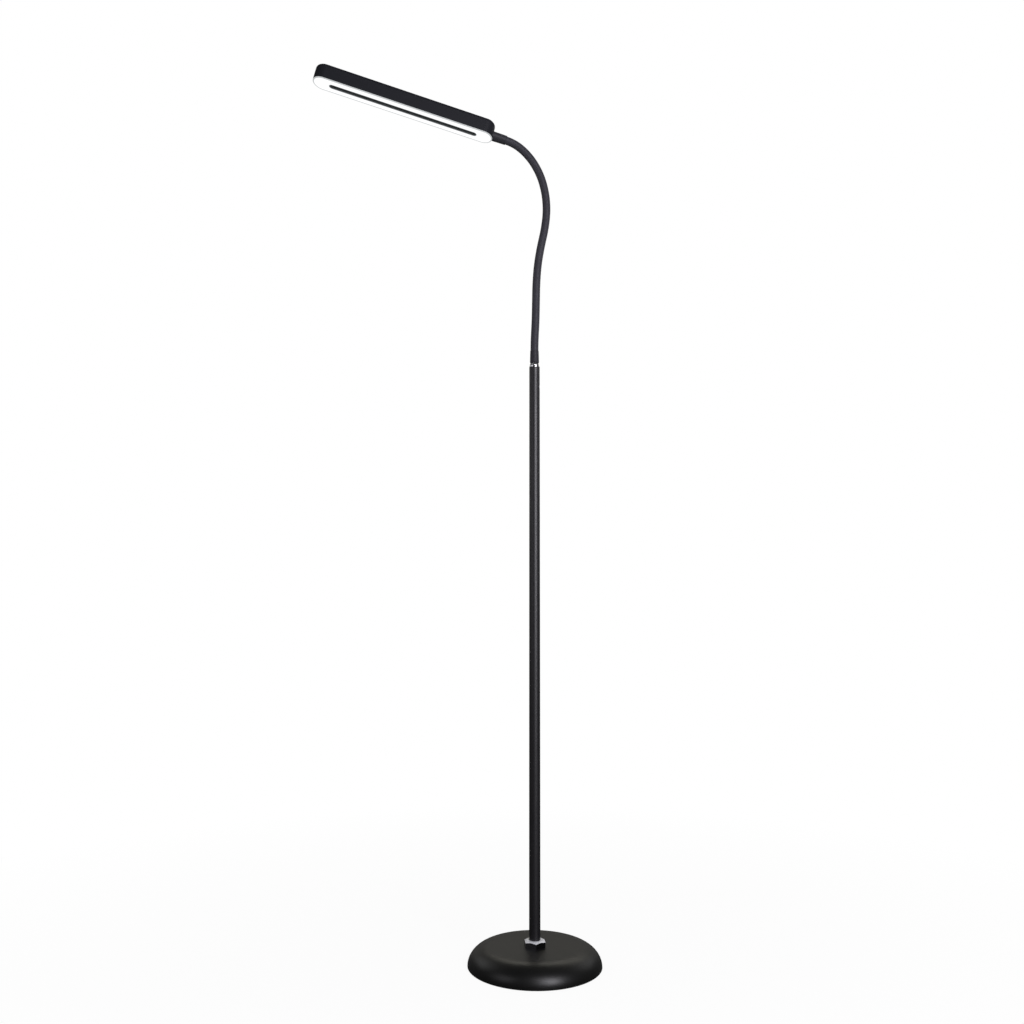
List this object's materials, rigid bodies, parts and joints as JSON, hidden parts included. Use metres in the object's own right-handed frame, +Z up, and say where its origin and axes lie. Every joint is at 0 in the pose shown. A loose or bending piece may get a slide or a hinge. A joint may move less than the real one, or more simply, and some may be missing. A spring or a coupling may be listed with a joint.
{
  "type": "gooseneck reading floor lamp",
  "caption": "Floor lamp with a weighted round base, a straight pole, a bending gooseneck and a long flat head lit from its underside.",
  "frame": {"origin": "centre of the round base, on the floor under its pad", "axes": "+Z up along the pole; the neck and head reach out towards -X, turned 12 degrees towards -Y, and the cord inlet is at +Y, behind"},
  "size_m": [0.5245, 0.229, 1.5963],
  "materials": {
    "base_paint": "satin black",
    "pole_paint": "satin black",
    "chrome": "polished",
    "weight": "as cast",
    "bare_steel": "zinc plated",
    "pad": "matte foam rubber",
    "grommet": "matte",
    "insert": "turned",
    "lead": "matte",
    "neck_core": "wound steel",
    "neck_sleeve": "smooth matte dark grey",
    "boot": "satin black",
    "housing": "satin black",
    "panel": "gloss black",
    "plate_metal": "plain sheet",
    "board": "circuit board",
    "led_board": "white coated",
    "diffuser": "opal white, lit",
    "trim": "satin dark grey"
  },
  "bodies": {
    "stand": {"base_cover": "base_paint", "cord_inlet": "grommet", "base_weight": "weight", "base_plate": "bare_steel", "base_pad": "pad", "base_screws": "bare_steel", "pole_stud": "bare_steel", "stud_washer": "bare_steel", "stud_nut": "bare_steel", "hex_nut": "chrome", "pole_lower": "pole_paint", "pole_middle": "pole_paint", "pole_upper": "pole_paint", "foot_insert": "insert", "coupler_lower": "insert", "coupler_upper": "insert", "top_bush": "insert", "pole_cap": "chrome", "set_screw": "bare_steel", "supply_lead": "lead", "neck_plug": "neck_core", "lower_boot": "boot", "neck_sleeve_1": "neck_sleeve"},
    "link_1": {"neck_core_1": "neck_core", "neck_sleeve_2": "neck_sleeve"},
    "link_2": {"neck_core_2": "neck_core", "neck_sleeve_3": "neck_sleeve"},
    "link_3": {"neck_core_3": "neck_core", "neck_sleeve_4": "neck_sleeve"},
    "link_4": {"neck_core_4": "neck_core", "neck_sleeve_5": "neck_sleeve"},
    "link_5": {"neck_core_5": "neck_core", "neck_sleeve_6": "neck_sleeve"},
    "link_6": {"neck_core_6": "neck_core", "neck_sleeve_7": "neck_sleeve"},
    "link_7": {"neck_core_7": "neck_core", "neck_sleeve_8": "neck_sleeve"},
    "link_8": {"neck_core_8": "neck_core", "neck_sleeve_9": "neck_sleeve"},
    "link_9": {"neck_core_9": "neck_core", "neck_sleeve_10": "neck_sleeve"},
    "link_10": {"neck_core_10": "neck_core", "neck_sleeve_11": "neck_sleeve"},
    "link_11": {"neck_core_11": "neck_core", "neck_sleeve_12": "neck_sleeve"},
    "head": {"neck_stem": "neck_core", "upper_boot": "boot", "head_housing": "housing", "control_panel": "panel", "head_socket": "insert", "stem_screw": "bare_steel", "socket_screws": "bare_steel", "heat_plate": "plate_metal", "plate_screws": "bare_steel", "driver_board": "board", "led_board_front": "led_board", "led_board_back": "led_board", "diffuser": "diffuser", "centre_trim": "trim"}
  },
  "joints": [
    {"name": "neck_sway_1", "type": "hinge", "parent": "stand", "child": "link_1", "pos_m": [0.00026, 0.00005, 1.10015], "axis": [0.9778, 0.2078, -0.0279], "range_deg": [-30, 30], "deforming": ["neck_sleeve_1"]},
    {"name": "neck_bend_1", "type": "hinge", "parent": "link_1", "child": "link_2", "pos_m": [0.00188, 0.0004, 1.13741], "axis": [0.2079, -0.9781, 0], "range_deg": [-45, 20], "deforming": ["neck_sleeve_2"]},
    {"name": "neck_sway_2", "type": "hinge", "parent": "link_2", "child": "link_3", "pos_m": [0.00279, 0.00059, 1.1747], "axis": [0.978, 0.2079, -0.0192], "range_deg": [-30, 30], "deforming": ["neck_sleeve_3"]},
    {"name": "neck_bend_2", "type": "hinge", "parent": "link_3", "child": "link_4", "pos_m": [0.00368, 0.00078, 1.21199], "axis": [0.2079, -0.9781, 0], "range_deg": [-45, 20], "deforming": ["neck_sleeve_4"]},
    {"name": "neck_sway_3", "type": "hinge", "parent": "link_4", "child": "link_5", "pos_m": [0.0064, 0.00136, 1.24917], "axis": [0.9716, 0.2065, -0.1158], "range_deg": [-30, 30], "deforming": ["neck_sleeve_5"]},
    {"name": "neck_bend_3", "type": "hinge", "parent": "link_5", "child": "link_6", "pos_m": [0.01214, 0.00258, 1.286], "axis": [0.2079, -0.9781, 0], "range_deg": [-45, 20], "deforming": ["neck_sleeve_6"]},
    {"name": "neck_sway_4", "type": "hinge", "parent": "link_6", "child": "link_7", "pos_m": [0.01937, 0.00412, 1.32256], "axis": [0.9646, 0.205, -0.1659], "range_deg": [-30, 30], "deforming": ["neck_sleeve_7"]},
    {"name": "neck_bend_4", "type": "hinge", "parent": "link_7", "child": "link_8", "pos_m": [0.02312, 0.00492, 1.35962], "axis": [0.2079, -0.9781, 0], "range_deg": [-45, 20], "deforming": ["neck_sleeve_8"]},
    {"name": "neck_sway_5", "type": "hinge", "parent": "link_8", "child": "link_9", "pos_m": [0.02031, 0.00432, 1.39675], "axis": [0.9627, 0.2046, 0.1771], "range_deg": [-30, 30], "deforming": ["neck_sleeve_9"]},
    {"name": "neck_bend_5", "type": "hinge", "parent": "link_9", "child": "link_10", "pos_m": [0.00995, 0.00212, 1.43243], "axis": [0.2079, -0.9781, 0], "range_deg": [-45, 20], "deforming": ["neck_sleeve_10"]},
    {"name": "neck_sway_6", "type": "hinge", "parent": "link_10", "child": "link_11", "pos_m": [-0.0092, -0.00196, 1.46401], "axis": [0.7421, 0.1577, 0.6514], "range_deg": [-30, 30], "deforming": ["neck_sleeve_11"]},
    {"name": "neck_bend_6", "type": "hinge", "parent": "link_11", "child": "head", "pos_m": [-0.03737, -0.00794, 1.48733], "axis": [0.2079, -0.9781, 0], "range_deg": [-45, 20], "deforming": ["neck_sleeve_12"]}
  ]
}
